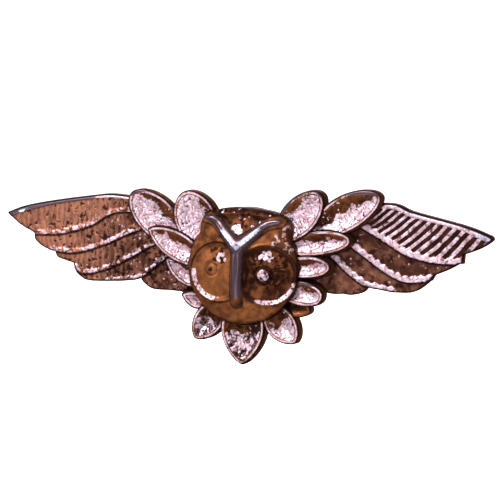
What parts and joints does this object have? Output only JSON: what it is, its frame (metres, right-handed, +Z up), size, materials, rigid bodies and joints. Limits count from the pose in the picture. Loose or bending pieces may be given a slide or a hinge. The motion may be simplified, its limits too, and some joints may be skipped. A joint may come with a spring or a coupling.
{
  "type": "winged owl lapel pin",
  "caption": "Copper winged owl badge in three stacked layers, with a hinged pin stem and a rollover safety catch on its flat back.",
  "frame": {"origin": "on the flat back of the wing plate, at the middle of the badge", "axes": "+X across the wings, +Z up, +Y out of the flat back, so the face looks along -Y"},
  "size_m": [0.0763, 0.0127, 0.0275],
  "materials": {
    "wing_copper": "antiqued copper with rubbed feather edges",
    "ruff_copper": "antiqued copper with bright pitted hollows",
    "head_copper": "dark amber copper with a polished gunmetal brow",
    "findings_brass": "plain satin brass",
    "pin_steel": "drawn steel wire"
  },
  "bodies": {
    "badge": {"wing_plate": "wing_copper", "petal_ruff": "ruff_copper", "owl_head": "head_copper", "hinge_bracket": "findings_brass", "hinge_rivet": "pin_steel", "catch_body": "findings_brass"},
    "stem": {"pin_stem": "pin_steel"},
    "rotor": {"catch_rotor": "findings_brass"}
  },
  "joints": [
    {"name": "pin_swing", "type": "hinge", "parent": "badge", "child": "stem", "pos_m": [-0.021, 0.003, 0.004], "axis": [0, 0, 1], "range_deg": [0, 80]},
    {"name": "catch_turn", "type": "hinge", "parent": "badge", "child": "rotor", "pos_m": [0.021, 0.003, 0.004], "axis": [1, 0, 0], "range_deg": [0, 140]}
  ]
}
